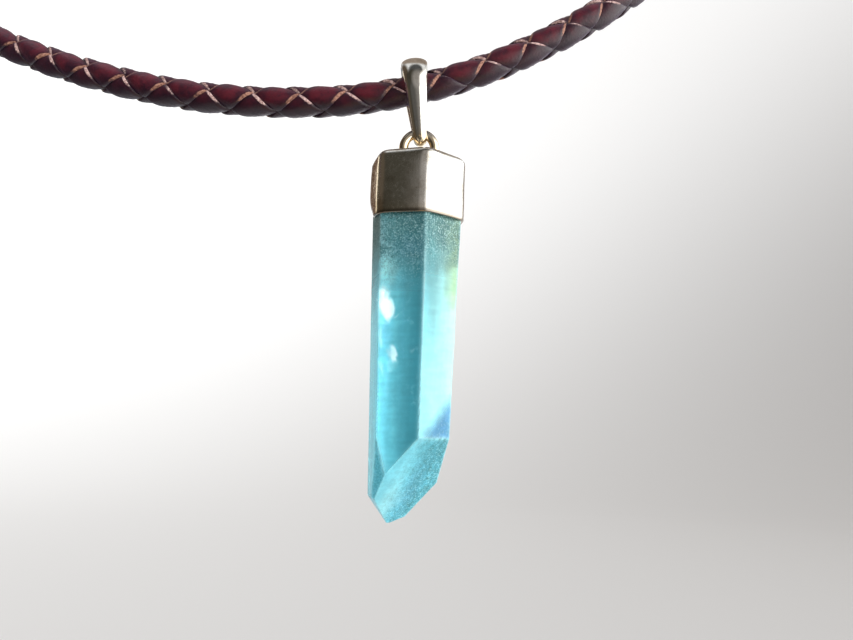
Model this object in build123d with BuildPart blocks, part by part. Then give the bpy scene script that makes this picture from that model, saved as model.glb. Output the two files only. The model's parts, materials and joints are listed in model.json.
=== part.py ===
"""Crystal point pendant on a braided leather cord.

A six-sided quartz point sits in a thin silver cap. A wire ring is soldered on the cap's top and
links into a tapered silver bail, and the bail is threaded on a round braid of four leather laces,
which closes at the nape in a plain barrel clasp.
Millimetres, +Z up, the pendant's front towards -Y. The origin is where the nape carries the loop,
on the underside of the clasp's middle.
"""
import os
from math import atan, cos, pi, radians, sin, tan

import numpy as np
from build123d import *

# Cord loop: a plane curve of arcs, closed at its real length
cord_length = 450.0
cord_radius = 1.5
loop_tilt = 70.0
bail_heading = 16.0
# Bends seen from the bail outwards, each as (turn in degrees, radius)
right_bends = [(15.0, 38.0), (45.0, 62.0)]
left_bends = [(15.0, 38.0), (15.0, 58.0), (40.0, 84.0)]
# Headings where the bends behind the neck change radius, and how far the nape lies left of the bail
nape_turn = 125.0
upper_left_heading = 265.0
nape_offset = 18.0

# Braid: four laces, two winding each way, each over one and under the next
braid_pitch = 8.7
braid_phase = 2.45
braid_middle = 0.79
braid_swing = 0.46
lace_thickness = 0.5
lace_half_width = 0.85
lace_angle = 45.0
sections_per_turn = 8

# Barrel clasp, with a blind bore for each end of the braid
clasp_length = 14.0
clasp_radius = 2.4
clasp_straight = 16.0
clasp_bore_radius = cord_radius + 0.1
clasp_bore_depth = 4.6
clasp_rim_round = 0.5
braid_end_gap = 0.2

# Bail: a teardrop strap, wide where it rides on the cord and narrow in the ring
bail_saddle_radius = cord_radius + 0.45
bail_saddle_wall = 0.85
bail_foot_radius = 0.55
bail_foot_wall = 0.65
bail_width_top = 2.6
bail_width_foot = 1.05
bail_lean = 6.5
bail_edge_round = 0.28

# Ring: round wire in the pendant's own plane, its top held in the bail's foot
ring_wire_radius = 0.42
ring_radius = 1.40
ring_top_drop = 4.20

# Silver cap: flats at their own distances from the axis, turned about it
cap_turn = -16.4
cap_flats = [3.92, 3.82, 3.92, 3.85, 3.82, 4.00]
cap_top_drop = 6.75
cap_height = 5.82
cap_wall = 0.28
cap_top_wall = 0.75
cap_corner_round = 0.35
cap_rim_round = 0.35

# Crystal: prism faces that taper to the point, then the faces of the point
crystal_gap = 0.05
crystal_top_gap = 0.1
taper_per_mm = [0.023, 0.018, 0.023, 0.022, 0.018, 0.022]
crystal_reach = 28.0
point_slope = 51.8
main_face_drop = 31.62
left_face_drop = 36.65
chip_slope = 25.0
chip_drop = 39.12
chip_distance = 1.86
bevel_slope = 80.4
bevel_drop = 34.81
bevel_distance = 3.17

os.makedirs("parts", exist_ok=True)


def arc_step(start, end):
    """Where an arc of radius 1 ends, from its headings in degrees, with its start at zero."""
    a, b = radians(start), radians(end)
    return np.array([sin(b) - sin(a), cos(a) - cos(b)])


def loop_stretches():
    """The loop from the nape's middle round the left side, the front and the right side back to it.

    Each stretch is (heading at its start, heading at its end, radius, length). The four radii that
    the neck hides are the ones that close the loop at its length with the nape where it belongs.
    """
    seen = []
    heading = bail_heading
    for turn, radius in left_bends:
        seen.insert(0, (heading - turn, heading, radius))
        heading -= turn
    left_end = heading
    heading = bail_heading
    for turn, radius in right_bends:
        seen.append((heading, heading + turn, radius))
        heading += turn
    right_end = heading
    right_point = sum(r * arc_step(a, b) for a, b, r in seen if a >= bail_heading)
    left_point = -sum(r * arc_step(a, b) for a, b, r in seen if b <= bail_heading)
    seen_length = sum(r * radians(b - a) for a, b, r in seen)
    hidden = [(right_end, nape_turn), (nape_turn, 360.0 - nape_turn),
              (360.0 - nape_turn, upper_left_heading), (upper_left_heading, 360.0 + left_end)]
    steps = np.array([arc_step(a, b) for a, b in hidden]).T
    turns = [radians(b - a) for a, b in hidden]
    nape_row = [steps[0, 0], arc_step(nape_turn, 180.0)[0], 0.0, 0.0]
    gap = left_point - right_point + np.array([clasp_straight, 0.0])
    side, nape, upper_left, lower_left = np.linalg.solve(
        np.vstack([steps, turns, nape_row]),
        [gap[0], gap[1], cord_length - seen_length - clasp_straight,
         clasp_straight / 2 - nape_offset - right_point[0]])
    rows = [(180.0, 360.0 - nape_turn, nape), (360.0 - nape_turn, upper_left_heading, upper_left),
            (upper_left_heading, 360.0 + left_end, lower_left)]
    rows += [(360.0 + a, 360.0 + b, r) for a, b, r in seen]
    rows += [(360.0 + right_end, 360.0 + nape_turn, side), (360.0 + nape_turn, 540.0, nape)]
    straight = [(180.0, 180.0, 0.0, clasp_straight / 2)]
    arcs = [(a, b, r, r * radians(b - a)) for a, b, r in rows]
    return straight + arcs + [(540.0, 540.0, 0.0, clasp_straight / 2)]


stretches = loop_stretches()
stretch_starts = np.concatenate([[0.0], np.cumsum([row[3] for row in stretches])])
bail_station = sum(row[3] for row in stretches if row[1] <= 360.0 + bail_heading)

# The loop's plane: its level direction, its upward slope, and its normal towards the front
loop_turn = atan(tan(radians(bail_heading)) * cos(radians(loop_tilt)))
tilt = radians(loop_tilt)
across = np.array([cos(loop_turn), -sin(loop_turn), 0.0])
upward = np.array([sin(loop_turn) * cos(tilt), cos(loop_turn) * cos(tilt), sin(tilt)])
front_normal = np.cross(across, upward)
nape_centre = np.array([0.0, 0.0, clasp_radius])


def loop_points(stations):
    """Points on the loop's centre line and the outward direction in its plane, by length from the nape."""
    corner = np.zeros(2)
    flat = np.zeros((len(stations), 2))
    heading = np.zeros(len(stations))
    for (start, end, radius, length), first in zip(stretches, stretch_starts):
        here = (stations >= first) & (stations <= first + length)
        run = stations[here] - first
        a = radians(start)
        if radius == 0.0:
            flat[here] = corner + np.outer(run, [cos(a), sin(a)])
            heading[here] = a
            corner = corner + length * np.array([cos(a), sin(a)])
        else:
            h = a + run / radius
            flat[here] = corner + radius * np.stack([np.sin(h) - sin(a), cos(a) - np.cos(h)], axis=1)
            heading[here] = h
            corner = corner + radius * arc_step(start, end)
    points = nape_centre + np.outer(flat[:, 0], across) + np.outer(flat[:, 1], upward)
    outward = np.outer(np.sin(heading), across) - np.outer(np.cos(heading), upward)
    return points, outward


def lace_solid(sense, phase):
    """One lace as a closed shell of triangles.

    The lace winds round the cord by `sense`, and its distance from the cord's middle swings between
    over and under once each quarter turn. Each section has two edges, a top and an underside. The
    diagonals bulge on the upper sides and dip on the undersides, so that crossing laces stay clear.
    """
    rate = 2 * pi / braid_pitch
    first_crossing = bail_station + braid_phase
    step = braid_pitch / sections_per_turn
    margin = clasp_length / 2 - clasp_bore_depth + braid_end_gap + lace_half_width
    before = int((first_crossing - margin) / step)
    after = int((cord_length - margin - first_crossing) / step)
    stations = first_crossing + step * np.arange(-before, after + 1)
    angle = phase + sense * rate * (stations - first_crossing)
    slant = radians(lace_angle)

    def row(sideways, lift):
        at = stations - sense * sideways * sin(slant)
        turn = angle + sideways * cos(slant) / braid_middle
        across_lace = turn - phase - sense * rate * (at - first_crossing)
        swing = np.cos(2 * rate * (at - first_crossing) + sense * across_lace)
        radius = braid_middle - sense * braid_swing * swing + lift
        points, outward = loop_points(at)
        out_reach = (radius * np.cos(turn))[:, None] * outward
        return points + out_reach + np.outer(radius * np.sin(turn), front_normal)

    section = [row(lace_half_width, 0.0), row(0.0, lace_thickness / 2),
               row(-lace_half_width, 0.0), row(0.0, -lace_thickness / 2)]
    corners = [[Vector(*point) for point in line] for line in section]
    triangles = []
    for i in range(before + after):
        for k in range(4):
            a, b = corners[k], corners[(k + 1) % 4]
            if (k < 2) == (sense > 0):
                triangles += [(a[i], b[i], b[i + 1]), (a[i], b[i + 1], a[i + 1])]
            else:
                triangles += [(a[i], b[i], a[i + 1]), (b[i], b[i + 1], a[i + 1])]
    left_edge, top, right_edge, underside = corners
    triangles += [(left_edge[0], right_edge[0], top[0]), (left_edge[0], underside[0], right_edge[0])]
    triangles += [(left_edge[-1], top[-1], right_edge[-1]), (left_edge[-1], right_edge[-1], underside[-1])]
    return Solid(Shell([Face(Wire.make_polygon(three, close=True)) for three in triangles]))


def hexagon(flats):
    """Corners of the six-sided section whose flats lie at these distances, first flat at cap_turn."""
    corners = []
    for k in range(6):
        a, b = radians(cap_turn + 60.0 * k), radians(cap_turn + 60.0 * (k + 1))
        sides = np.array([[sin(a), -cos(a)], [sin(b), -cos(b)]])
        x, y = np.linalg.solve(sides, [flats[k], flats[(k + 1) % 6]])
        corners.append((float(x), float(y)))
    return corners


def point_face(side, slope, distance, drop):
    """Plane of a face of the point.

    It faces `side`, slopes by `slope`, and passes `distance` out from the drop's axis, `drop` down.
    """
    a, s = radians(side), radians(slope)
    foot = drop_axis + Vector(distance * sin(a), -distance * cos(a), -drop)
    return Plane(origin=foot, z_dir=(sin(a) * sin(s), -cos(a) * sin(s), -cos(s)))


# The four laces: the two that wind one way lie over at the outside and inside of the loop, and the
# two that wind the other way lie over at its front and back
with BuildPart() as lace_1:
    add(lace_solid(-1.0, 0.0))
lace_1.part.label = "lace_1"

with BuildPart() as lace_2:
    add(lace_solid(-1.0, pi))
lace_2.part.label = "lace_2"

with BuildPart() as lace_3:
    add(lace_solid(1.0, 0.0))
lace_3.part.label = "lace_3"

with BuildPart() as lace_4:
    add(lace_solid(1.0, pi))
lace_4.part.label = "lace_4"

# Barrel clasp on the straight run at the nape
clasp_end = Plane(origin=Vector(*(nape_centre - across * clasp_length / 2)), z_dir=Vector(*across))
with BuildPart() as clasp:
    with BuildSketch(clasp_end):
        Circle(clasp_radius)
    extrude(amount=clasp_length)
    fillet(clasp.edges(), clasp_rim_round)
    with BuildSketch(clasp_end, clasp_end.offset(clasp_length - clasp_bore_depth)):
        Circle(clasp_bore_radius)
    extrude(amount=clasp_bore_depth, mode=Mode.SUBTRACT)
clasp.part.label = "clasp"

# The bail hangs on the cord at the saddle and leans, so its foot and all below it lie to the right
saddle = Vector(*loop_points(np.array([bail_station]))[0][0])
lean = radians(bail_lean)
bail_side = Plane(origin=saddle, x_dir=(0, 1, 0), z_dir=(cos(lean), 0, sin(lean)))
bail_front = Plane(origin=saddle, x_dir=(cos(lean), 0, sin(lean)), z_dir=(0, -1, 0))
foot_drop = ring_top_drop / cos(lean)
bail_top = bail_saddle_radius + bail_saddle_wall
bail_bottom = foot_drop + bail_foot_radius + bail_foot_wall
with BuildPart() as bail:
    with BuildSketch(bail_side):
        Circle(bail_top)
        with Locations((0, -foot_drop)):
            Circle(bail_foot_radius + bail_foot_wall)
        make_hull()
    extrude(amount=bail_width_top, both=True)
    with BuildSketch(bail_side):
        Circle(bail_saddle_radius)
        with Locations((0, -foot_drop)):
            Circle(bail_foot_radius)
        make_hull()
    extrude(amount=bail_width_top, both=True, mode=Mode.SUBTRACT)
    with BuildSketch(bail_front):
        Polygon((-bail_width_top / 2, bail_top), (bail_width_top / 2, bail_top),
                (bail_width_foot / 2, -bail_bottom), (-bail_width_foot / 2, -bail_bottom), align=None)
    extrude(amount=2 * bail_top, both=True, mode=Mode.INTERSECT)
    fillet(bail.edges(), bail_edge_round)
bail.part.label = "bail"

# Everything on the drop hangs plumb below the top of the ring, where the bail's foot holds it
drop_axis = saddle + Vector(foot_drop * sin(lean), 0, 0)
ring_centre = drop_axis + Vector(0, 0, -ring_top_drop - ring_radius)
cap_top = Plane(origin=drop_axis + Vector(0, 0, -cap_top_drop))
cap_mouth = cap_top.offset(-cap_height)
cavity_top = cap_top.offset(-cap_top_wall)
with BuildPart() as cap:
    with BuildSketch(cap_mouth):
        Polygon(*hexagon(cap_flats), align=None)
    extrude(amount=cap_height)
    fillet(cap.edges().filter_by(Axis.Z), cap_corner_round)
    fillet(cap.faces().sort_by(Axis.Z)[-1].edges(), cap_rim_round)
    with BuildSketch(cap_mouth):
        Polygon(*hexagon([flat - cap_wall for flat in cap_flats]), align=None)
    extrude(amount=cap_height - cap_top_wall, mode=Mode.SUBTRACT)
    with BuildSketch(Plane(origin=ring_centre, x_dir=(0, 1, 0), z_dir=(1, 0, 0))):
        with Locations((0, ring_radius)):
            Circle(ring_wire_radius)
    revolve(axis=Axis(ring_centre, (0, 1, 0)))
cap.part.label = "cap"

# The crystal: straight inside the cap, tapered below it, cut by the faces of its point
crystal_flats = [flat - cap_wall - crystal_gap for flat in cap_flats]
crystal_end_flats = [flat - rate * crystal_reach for flat, rate in zip(crystal_flats, taper_per_mm)]
mouth_drop = cap_top_drop + cap_height
main_distance = crystal_flats[1] - taper_per_mm[1] * (main_face_drop - mouth_drop)
left_distance = crystal_flats[5] - taper_per_mm[5] * (left_face_drop - mouth_drop)
with BuildPart() as crystal:
    with BuildSketch(cavity_top.offset(-crystal_top_gap), cap_mouth):
        Polygon(*hexagon(crystal_flats), align=None)
    loft(ruled=True)
    with BuildSketch(cap_mouth):
        Polygon(*hexagon(crystal_flats), align=None)
    with BuildSketch(cap_mouth.offset(-crystal_reach)):
        Polygon(*hexagon(crystal_end_flats), align=None)
    loft(ruled=True)
    split(bisect_by=point_face(cap_turn + 60.0, point_slope, main_distance, main_face_drop), keep=Keep.BOTTOM)
    split(bisect_by=point_face(cap_turn - 60.0, point_slope, left_distance, left_face_drop), keep=Keep.BOTTOM)
    split(bisect_by=point_face(cap_turn + 180.0, chip_slope, chip_distance, chip_drop), keep=Keep.BOTTOM)
    split(bisect_by=point_face(cap_turn - 30.0, bevel_slope, bevel_distance, bevel_drop), keep=Keep.BOTTOM)
crystal.part.label = "crystal"

pieces = {"lace_1": lace_1, "lace_2": lace_2, "lace_3": lace_3, "lace_4": lace_4, "clasp": clasp,
          "bail": bail, "cap": cap, "crystal": crystal}
for name, piece in pieces.items():
    export_step(piece.part, f"parts/{name}.step")

print("loop radii", [round(float(row[2]), 1) for row in stretches], "length", round(stretch_starts[-1], 3))
print("saddle", saddle, "ring centre", ring_centre)
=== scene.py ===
"""Looks of the crystal point pendant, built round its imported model.

Lengths are millimetres until a mesh is made, in the model's own frame: +Z up, the pendant's front
towards -Y, the origin under the clasp at the nape.
"""
import json
from itertools import combinations
from math import acos, atan, cos, pi, radians, sin, tan

import bpy
import numpy as np
from mathutils import Matrix, Vector


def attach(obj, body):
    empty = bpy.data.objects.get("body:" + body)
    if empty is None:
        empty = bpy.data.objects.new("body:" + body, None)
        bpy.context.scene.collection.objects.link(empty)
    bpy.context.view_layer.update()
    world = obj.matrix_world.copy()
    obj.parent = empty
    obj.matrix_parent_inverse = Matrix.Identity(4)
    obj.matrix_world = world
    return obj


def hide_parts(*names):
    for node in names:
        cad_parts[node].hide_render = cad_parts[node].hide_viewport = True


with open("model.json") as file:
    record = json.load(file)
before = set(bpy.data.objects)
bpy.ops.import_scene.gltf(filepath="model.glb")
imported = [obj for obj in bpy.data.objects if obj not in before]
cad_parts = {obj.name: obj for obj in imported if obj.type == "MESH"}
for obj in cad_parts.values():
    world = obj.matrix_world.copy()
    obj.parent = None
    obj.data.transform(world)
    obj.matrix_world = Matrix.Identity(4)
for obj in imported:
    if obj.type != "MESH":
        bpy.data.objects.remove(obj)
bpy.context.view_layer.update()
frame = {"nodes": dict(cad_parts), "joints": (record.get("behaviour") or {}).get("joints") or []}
MM = 0.001

# Cord loop, the same arcs as in the model
cord_length = 450.0
loop_tilt = 70.0
bail_heading = 16.0
right_bends = [(15.0, 38.0), (45.0, 62.0)]
left_bends = [(15.0, 38.0), (15.0, 58.0), (40.0, 84.0)]
nape_turn = 125.0
upper_left_heading = 265.0
nape_offset = 18.0
clasp_radius = 2.4
clasp_straight = 16.0

# Braid
braid_pitch = 8.7
braid_phase = 2.45
braid_middle = 1.01
braid_swing = 0.21
braid_dip = 0.07
lace_width = 2.56
lace_thickness = 0.42
lace_angle = 38.0
lace_start = 3.6
stations_per_turn = 36
# How uneven a lace is, and over what length along the cord
lace_drift = 0.05
drift_length = 7.0
width_wander = 0.035
width_length = 4.0
lift_wander = 0.02
lift_length = 3.0
edge_wander = 0.25
edge_length = 0.9
# Shares of its thickness and of its raw edge that a lace keeps where it slips under or turns away; the raw
# edge's share is painted shade, its pale colour held back there
pressed_thickness = 0.72
edge_share_in_side_shade = 0.25
edge_share_in_under_shade = 0.35
# How far a lace faces out, as a squared sine, where the painted shade on its raw edge starts to lift and
# where it is gone
edge_shows_from = 0.21875
edge_shows_fully = 0.84375

# Bail and ring
bail_saddle_radius = 1.95
bail_saddle_wall = 0.85
bail_foot_radius = 0.55
bail_foot_wall = 0.65
bail_width_top = 2.6
bail_width_foot = 1.05
bail_lean = 6.5
ring_wire_radius = 0.42
ring_radius = 1.40
ring_top_drop = 4.20
solder_length = 1.25
solder_breadth = 0.72
solder_height = 0.5
solder_sink = 0.12

# Silver cap
cap_turn = -16.4
cap_flats = np.array([3.92, 3.82, 3.92, 3.85, 3.82, 4.00])
cap_top_drop = 6.75
cap_height = 5.82
cap_wall = 0.28
cap_top_wall = 0.75
cap_shoulder = 0.62
cap_corner_reach = 0.72
cap_swell = 0.14
swell_drop = 1.5
dent_depth = 0.03
rim_waver = 0.05
# Where the rim is tucked in and lifted, at the left
tuck_azimuth = 250.0
tuck_breadth = 0.55
tuck_depth = 0.5
tuck_lift = 0.55

# Crystal
crystal_gap = 0.05
crystal_top_gap = 0.1
taper_per_mm = np.array([0.023, 0.018, 0.023, 0.022, 0.018, 0.022])
point_slope = 51.8
main_face_drop = 31.62
left_face_drop = 36.65
chip_slope = 25.0
chip_drop = 39.12
chip_distance = 1.86
bevel_slope = 80.4
bevel_drop = 34.81
bevel_distance = 3.17
half_face = 2.15
point_bend = 27.0
tip_blunting = 0.10
edge_wear = 0.16
wear_wander = 0.05
growth_depth = 0.006
# Numbers of the faces that the photograph shows
front_left, front_right, far_left, point_face = 0, 1, 5, 6

# Camera, as the photograph was taken: it looks up from close by and leans a little
photo_width = 853
photo_height = 640
focal_pixels = 819.0
camera_up_tilt = 7.9
camera_roll = 1.9
camera_distance = 75.2
saddle_pixel = (416.0, 89.7)
sensor_width = 36.0

hinges = {joint["name"]: np.array(joint["pos_m"]) / MM for joint in frame["joints"]}
saddle = hinges["bail_swing"]
ring_centre = hinges["drop_swing"]
drop_axis = np.array([ring_centre[0], ring_centre[1], saddle[2]])


# Meshes

def grid_mesh(name, points, closed_along=False, poles=False, uv=None, marks=None, tint=None):
    """Object from a grid of points, rows along the piece and columns once round it.

    Columns close on themselves, and rows do if `closed_along`. With `poles`, each end is closed by a
    fan about its middle. Faces are turned outwards by the sign of the volume they enclose.
    """
    rows, columns = points.shape[:2]
    round_index = np.arange(columns + 1) % columns
    along_index = np.arange(rows + 1) % rows if closed_along else np.arange(rows)
    index = along_index[:, None] * columns + round_index[None, :]
    place = np.arange(index.size).reshape(index.shape)

    def cells(grid):
        return np.stack([grid[:-1, :-1], grid[:-1, 1:], grid[1:, 1:], grid[1:, :-1]], axis=-1).reshape(-1, 4)

    corners = points.reshape(-1, 3)
    quads, spots = cells(index), cells(place)
    a, b, c, d = (corners[quads[:, k]] for k in range(4))
    volume = (a * np.cross(b, c)).sum() + (a * np.cross(c, d)).sum()
    fans = []
    if poles:
        corners = np.vstack([corners, points[0].mean(axis=0), points[-1].mean(axis=0)])
        first, last = rows * columns, rows * columns + 1
        start, end = index[0], index[-1]
        fans = np.vstack([np.stack([np.full(columns, first), start[1:], start[:-1]], axis=1),
                          np.stack([np.full(columns, last), end[:-1], end[1:]], axis=1)])
    if volume < 0:
        quads, spots = quads[:, ::-1], spots[:, ::-1]
        fans = fans[:, ::-1] if poles else fans
    mesh = bpy.data.meshes.new(name)
    mesh.from_pydata((corners * MM).tolist(), [], quads.tolist() + [list(fan) for fan in fans])
    mesh.shade_smooth()
    if uv is not None:
        sheet = np.zeros((len(mesh.loops), 2))
        sheet[:spots.size] = uv.reshape(-1, 2)[spots.ravel()]
        mesh.uv_layers.new(name="surface").data.foreach_set("uv", sheet.ravel())
    for mark, share in (marks or {}).items():
        values = np.zeros(len(mesh.vertices))
        values[:share.size] = share.ravel()
        mesh.attributes.new(mark, "FLOAT", "POINT").data.foreach_set("value", values)
    if tint is not None:
        colours = np.ones((len(mesh.vertices), 4))
        colours[:rows * columns, :tint.shape[-1]] = tint.reshape(rows * columns, -1)
        colours[rows * columns:] = colours[rows * columns - 1] if poles else 1.0
        mesh.color_attributes.new("tint", "FLOAT_COLOR", "POINT").data.foreach_set("color", colours.ravel())
    piece = bpy.data.objects.new(name, mesh)
    bpy.context.scene.collection.objects.link(piece)
    return piece


def ripple(seed, *coordinates, waves=6):
    """Smooth noise between about -1 and 1: a sum of sine waves whose headings come from the seed."""
    chance = np.random.default_rng(seed)
    total = 0.0
    for _ in range(waves):
        heading = chance.normal(size=len(coordinates))
        total = total + np.sin(sum(h * c for h, c in zip(heading, coordinates)) + chance.uniform(0, 2 * pi))
    return total / waves**0.5


def turning(azimuth, pace):
    """Two coordinates that go round with the azimuth, for ripples that close on themselves."""
    return pace * np.cos(azimuth), pace * np.sin(azimuth)


def rise(value, start, full):
    """Share of the way from `start` to `full`, kept between 0 and 1."""
    return np.clip((value - start) / (full - start), 0, 1)


def at_least(low, share):
    """A share between 0 and 1 squeezed in between `low` and 1."""
    return low + (1 - low) * share


def blended_least(values, reach):
    """Least of the values along the first axis, rounded off where the two least are within `reach`."""
    least, second = np.partition(values, 1, axis=0)[:2]
    overlap = np.clip(1 - (second - least) / reach, 0, None)
    return least - overlap**2 * reach / 4


# Cord

def arc_step(start, end):
    """Where an arc of radius 1 ends, from its headings in degrees, with its start at zero."""
    a, b = radians(start), radians(end)
    return np.array([sin(b) - sin(a), cos(a) - cos(b)])


def loop_stretches():
    """The loop from the nape's middle round the left side, the front and the right side back to it.

    Each stretch is (heading at its start, heading at its end, radius, length). The four radii behind
    the neck are the ones that close the loop at its length with the nape where it belongs.
    """
    seen = []
    heading = bail_heading
    for turn, radius in left_bends:
        seen.insert(0, (heading - turn, heading, radius))
        heading -= turn
    left_end = heading
    heading = bail_heading
    for turn, radius in right_bends:
        seen.append((heading, heading + turn, radius))
        heading += turn
    right_end = heading
    right_point = sum(r * arc_step(a, b) for a, b, r in seen if a >= bail_heading)
    left_point = -sum(r * arc_step(a, b) for a, b, r in seen if b <= bail_heading)
    seen_length = sum(r * radians(b - a) for a, b, r in seen)
    hidden = [(right_end, nape_turn), (nape_turn, 360.0 - nape_turn),
              (360.0 - nape_turn, upper_left_heading), (upper_left_heading, 360.0 + left_end)]
    steps = np.array([arc_step(a, b) for a, b in hidden]).T
    turns = [radians(b - a) for a, b in hidden]
    nape_row = [steps[0, 0], arc_step(nape_turn, 180.0)[0], 0.0, 0.0]
    gap = left_point - right_point + np.array([clasp_straight, 0.0])
    side, nape, upper_left, lower_left = np.linalg.solve(
        np.vstack([steps, turns, nape_row]),
        [gap[0], gap[1], cord_length - seen_length - clasp_straight,
         clasp_straight / 2 - nape_offset - right_point[0]])
    rows = [(180.0, 360.0 - nape_turn, nape), (360.0 - nape_turn, upper_left_heading, upper_left),
            (upper_left_heading, 360.0 + left_end, lower_left)]
    rows += [(360.0 + a, 360.0 + b, r) for a, b, r in seen]
    rows += [(360.0 + right_end, 360.0 + nape_turn, side), (360.0 + nape_turn, 540.0, nape)]
    straight = [(180.0, 180.0, 0.0, clasp_straight / 2)]
    arcs = [(a, b, r, r * radians(b - a)) for a, b, r in rows]
    return straight + arcs + [(540.0, 540.0, 0.0, clasp_straight / 2)]


stretches = loop_stretches()
stretch_starts = np.concatenate([[0.0], np.cumsum([row[3] for row in stretches])])
bail_station = sum(row[3] for row in stretches if row[1] <= 360.0 + bail_heading)
loop_turn = atan(tan(radians(bail_heading)) * cos(radians(loop_tilt)))
tilt = radians(loop_tilt)
across = np.array([cos(loop_turn), -sin(loop_turn), 0.0])
upward = np.array([sin(loop_turn) * cos(tilt), cos(loop_turn) * cos(tilt), sin(tilt)])
front_normal = np.cross(across, upward)
nape_centre = np.array([0.0, 0.0, clasp_radius])


def loop_points(stations):
    """Points on the loop's centre line and the outward direction in its plane, by length from the nape."""
    corner = np.zeros(2)
    flat = np.zeros((len(stations), 2))
    heading = np.zeros(len(stations))
    for (start, end, radius, length), first in zip(stretches, stretch_starts):
        here = (stations >= first) & (stations <= first + length)
        run = stations[here] - first
        a = radians(start)
        if radius == 0.0:
            flat[here] = corner + np.outer(run, [cos(a), sin(a)])
            heading[here] = a
            corner = corner + length * np.array([cos(a), sin(a)])
        else:
            h = a + run / radius
            flat[here] = corner + radius * np.stack([np.sin(h) - sin(a), cos(a) - np.cos(h)], axis=1)
            heading[here] = h
            corner = corner + radius * arc_step(start, end)
    points = nape_centre + np.outer(flat[:, 0], across) + np.outer(flat[:, 1], upward)
    outward = np.outer(np.sin(heading), across) - np.outer(np.cos(heading), upward)
    return points, outward


# Section of a lace: (across from edge to edge, depth under the top, share of raw edge)
lace_section = np.array([
    (-1.0, 0.17, 1.0), (-0.95, 0.07, 1.0), (-0.87, 0.03, 0.9), (-0.79, 0.01, 0.3), (-0.72, 0.0, 0.0),
    (-0.4, 0.0, 0.0), (0.0, -0.02, 0.0), (0.4, 0.0, 0.0),
    (0.72, 0.0, 0.0), (0.79, 0.01, 0.3), (0.87, 0.03, 0.9), (0.95, 0.07, 1.0), (1.0, 0.17, 1.0),
    (0.99, 0.30, 0.7), (0.93, lace_thickness, 0.3), (0.5, lace_thickness, 0.0), (-0.5, lace_thickness, 0.0),
    (-0.93, lace_thickness, 0.3), (-0.99, 0.30, 0.7)])


def braided_lace(name, sense, phase):
    """One lace: a flat strip with softened edges, carried round the cord.

    Its middle winds by `sense`, one turn each pitch. Its distance from the cord's middle is the
    braid's middle radius plus the swing times a flattened cosine of twice that turn, so it lies over
    one lace and under the next, less a dip where it slips under a neighbour's edge. The mark "edge" is
    the share of raw edge that shows, held back by painted shade where the lace turns aside or slips
    under, and "middle" is a painted highlight, high along the middle where it faces out and lies on top.
    """
    rate = 2 * pi / braid_pitch
    first_crossing = bail_station + braid_phase
    count = int((cord_length - 2 * lace_start) / braid_pitch * stations_per_turn)
    along = np.linspace(lace_start, cord_length - lace_start, count)[:, None]
    slant = radians(lace_angle)
    seed = seed_of(name)
    drift = lace_drift * ripple(seed, along / drift_length)
    width = lace_width / 2 * (1 + width_wander * ripple(seed + 1, along / width_length))
    sideways = lace_section[None, :, 0] * width + drift
    at = along - sense * sideways * sin(slant)
    turn = phase + sense * rate * (along - first_crossing) + sideways * cos(slant) / braid_middle
    run = at - first_crossing
    over = -sense * np.cos(turn + sense * rate * run + phase)
    swing = braid_swing * np.sin(pi / 2 * over) - braid_dip * (1 - over**2)
    lift = swing + lace_thickness / 2 - lace_section[None, :, 1] * at_least(pressed_thickness, over**2)
    radius = braid_middle + lift + lift_wander * ripple(seed + 2, along / lift_length)
    shape = at.shape
    points, outward = loop_points(np.clip(at, 0.0, cord_length).ravel())
    points = points.reshape(*shape, 3)
    outward = outward.reshape(*shape, 3)
    body = (points + (radius * np.cos(turn))[..., None] * outward
            + (radius * np.sin(turn))[..., None] * front_normal)
    facing = np.sin(turn)**2
    # Painted shade: the raw edge's pale colour held back where the lace turns aside or slips under a
    # neighbour
    fade = at_least(edge_share_in_side_shade, rise(facing, edge_shows_from, edge_shows_fully))
    fade = fade * at_least(edge_share_in_under_shade, rise(over, -0.5, 0.5))
    fade = fade * (1 + edge_wander * ripple(seed + 3, along / edge_length))
    # Painted highlight: high along a lace's middle where it faces out and lies on top
    middle = facing * (1 - lace_section[None, :, 0]**2) * rise(over, -0.4, 0.6)
    columns = shape[1]
    uv = np.zeros((count, columns + 1, 2))
    uv[..., 0] = along / 10.0
    uv[..., 1] = np.arange(columns + 1) / columns
    marks = {"edge": lace_section[:, 2] * fade, "middle": middle}
    return grid_mesh(name, body, poles=True, uv=uv, marks=marks)


def seed_of(name):
    """A seed of its own for each piece, from the letters of its name."""
    return sum(ord(letter) * (place + 1) for place, letter in enumerate(name))


# Metal

# Section of the bail's strap, round outside and flat inside: (across from edge to edge, height)
dome = np.linspace(-pi / 2, pi / 2, 19)
bail_section = np.vstack([
    np.stack([np.sin(dome), 0.28 + 0.72 * np.cos(dome)], axis=1),
    [(0.97, 0.12), (0.86, 0.02), (0.5, 0.0), (0.0, 0.0), (-0.5, 0.0), (-0.86, 0.02), (-0.97, 0.12)]])


def teardrop(saddle_radius, foot_radius, foot_drop, top_steps, side_steps, foot_steps):
    """Outline round two circles, one above the other, as (level, height) points from the top round to it.

    Each side is the line that touches both circles: its outward direction makes an angle with down
    whose cosine is the difference of the radii over the distance of the centres.
    """
    touch = acos((saddle_radius - foot_radius) / foot_drop)
    top = np.linspace(pi, touch, top_steps, endpoint=False)
    foot = np.linspace(touch, 0.0, foot_steps)
    side = np.linspace(0.0, 1.0, side_steps, endpoint=False)[:, None]
    top_part = saddle_radius * np.stack([np.sin(top), -np.cos(top)], axis=1)
    foot_part = foot_radius * np.stack([np.sin(foot), -np.cos(foot)], axis=1) - [0.0, foot_drop]
    start = saddle_radius * np.array([sin(touch), -cos(touch)])
    half = np.vstack([top_part, start + side * (foot_part[0] - start), foot_part])
    return np.vstack([half, (half * [-1.0, 1.0])[-2:0:-1]])


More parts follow.
